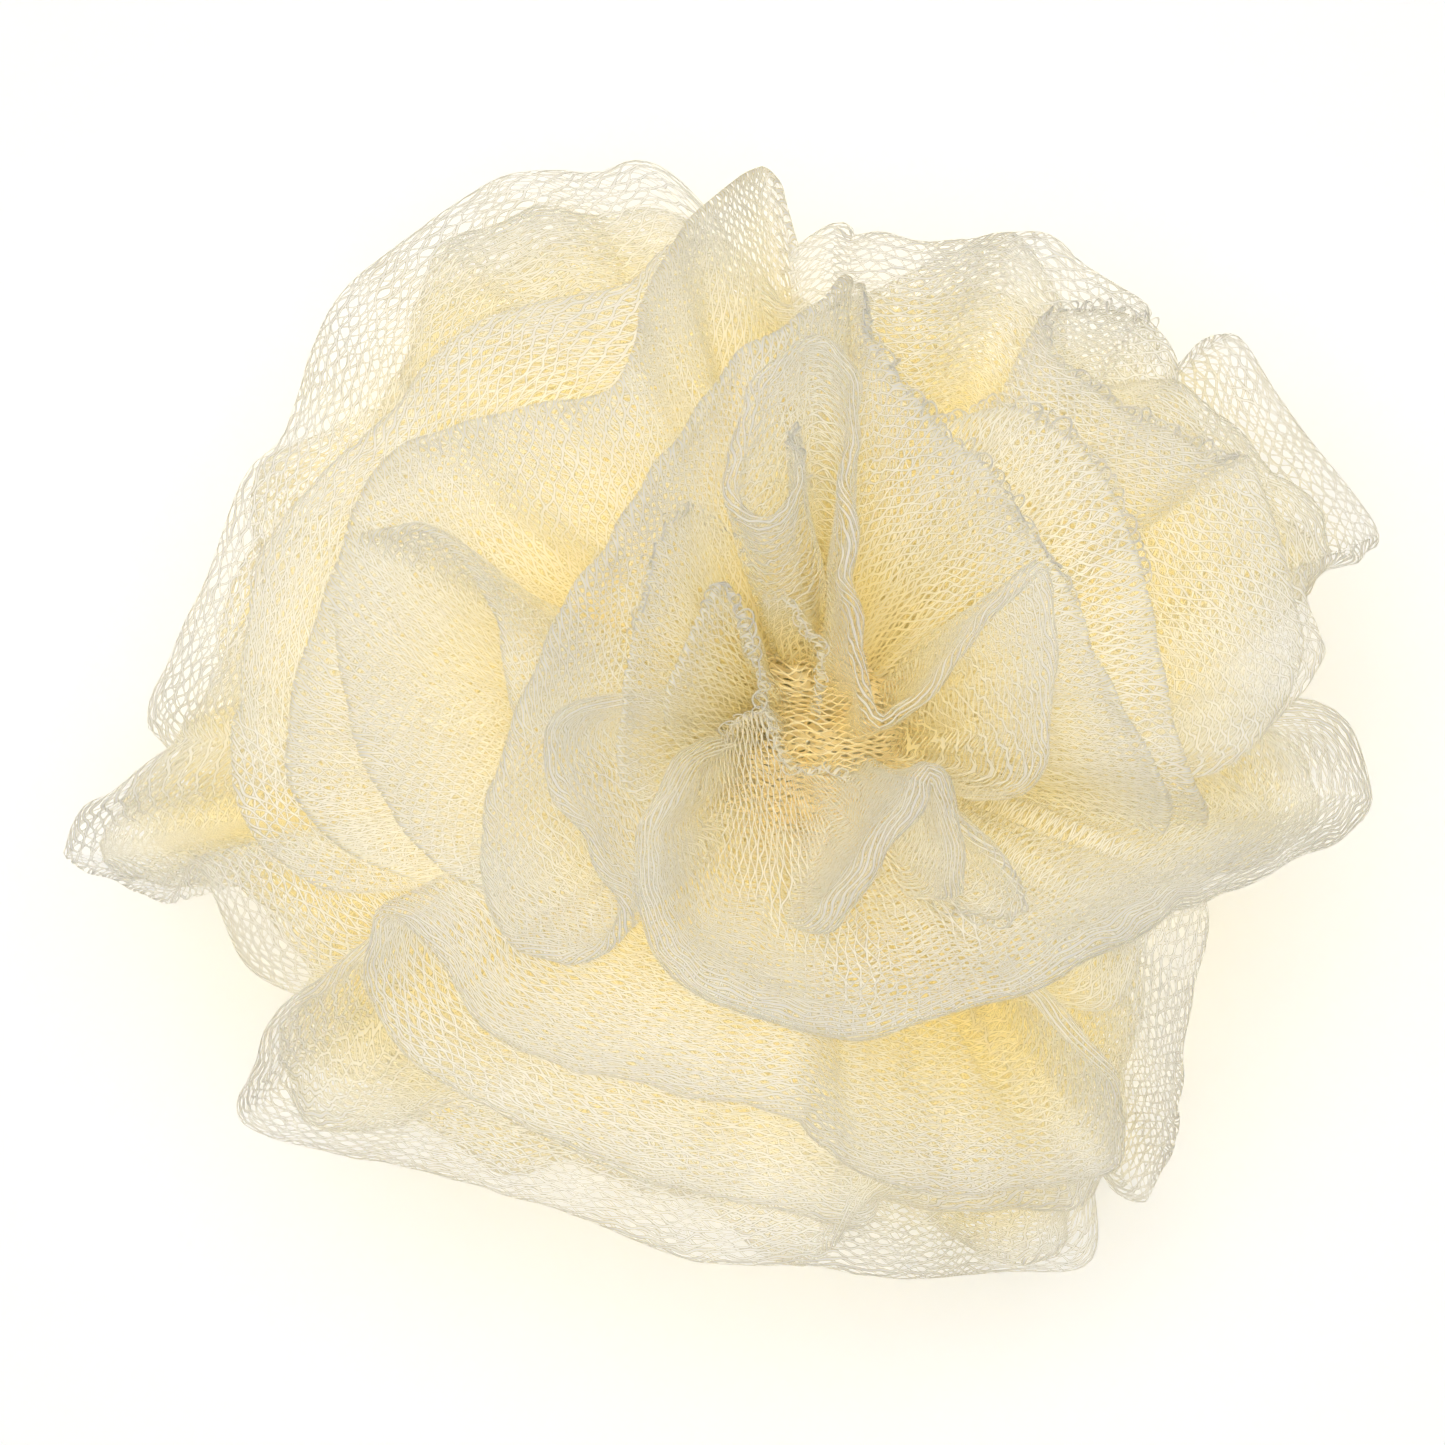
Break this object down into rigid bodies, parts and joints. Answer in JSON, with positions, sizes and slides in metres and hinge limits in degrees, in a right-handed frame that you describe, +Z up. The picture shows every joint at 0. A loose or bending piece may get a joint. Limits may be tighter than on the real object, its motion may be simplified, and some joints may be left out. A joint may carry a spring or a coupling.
{
  "type": "body sponge",
  "caption": "Soft mesh bath puff: one tube of fine netting gathered at its middle into deep rounded ruffles, for lathering soap on the body.",
  "frame": {"origin": "centre of the bounding box in plan, on the surface that the puff rests on", "axes": "+Z up out of the open rosette of the upper folds, +X along the longest side, to the right as the picture shows it"},
  "size_m": [0.1324, 0.1124, 0.0816],
  "materials": {
    "netting": "fine soft plastic net, cream to pale yellow, slightly shiny",
    "binding_tie": "twisted cord, matte"
  },
  "bodies": {
    "root": {"netting": "netting", "binding_tie": "binding_tie"}
  },
  "joints": []
}
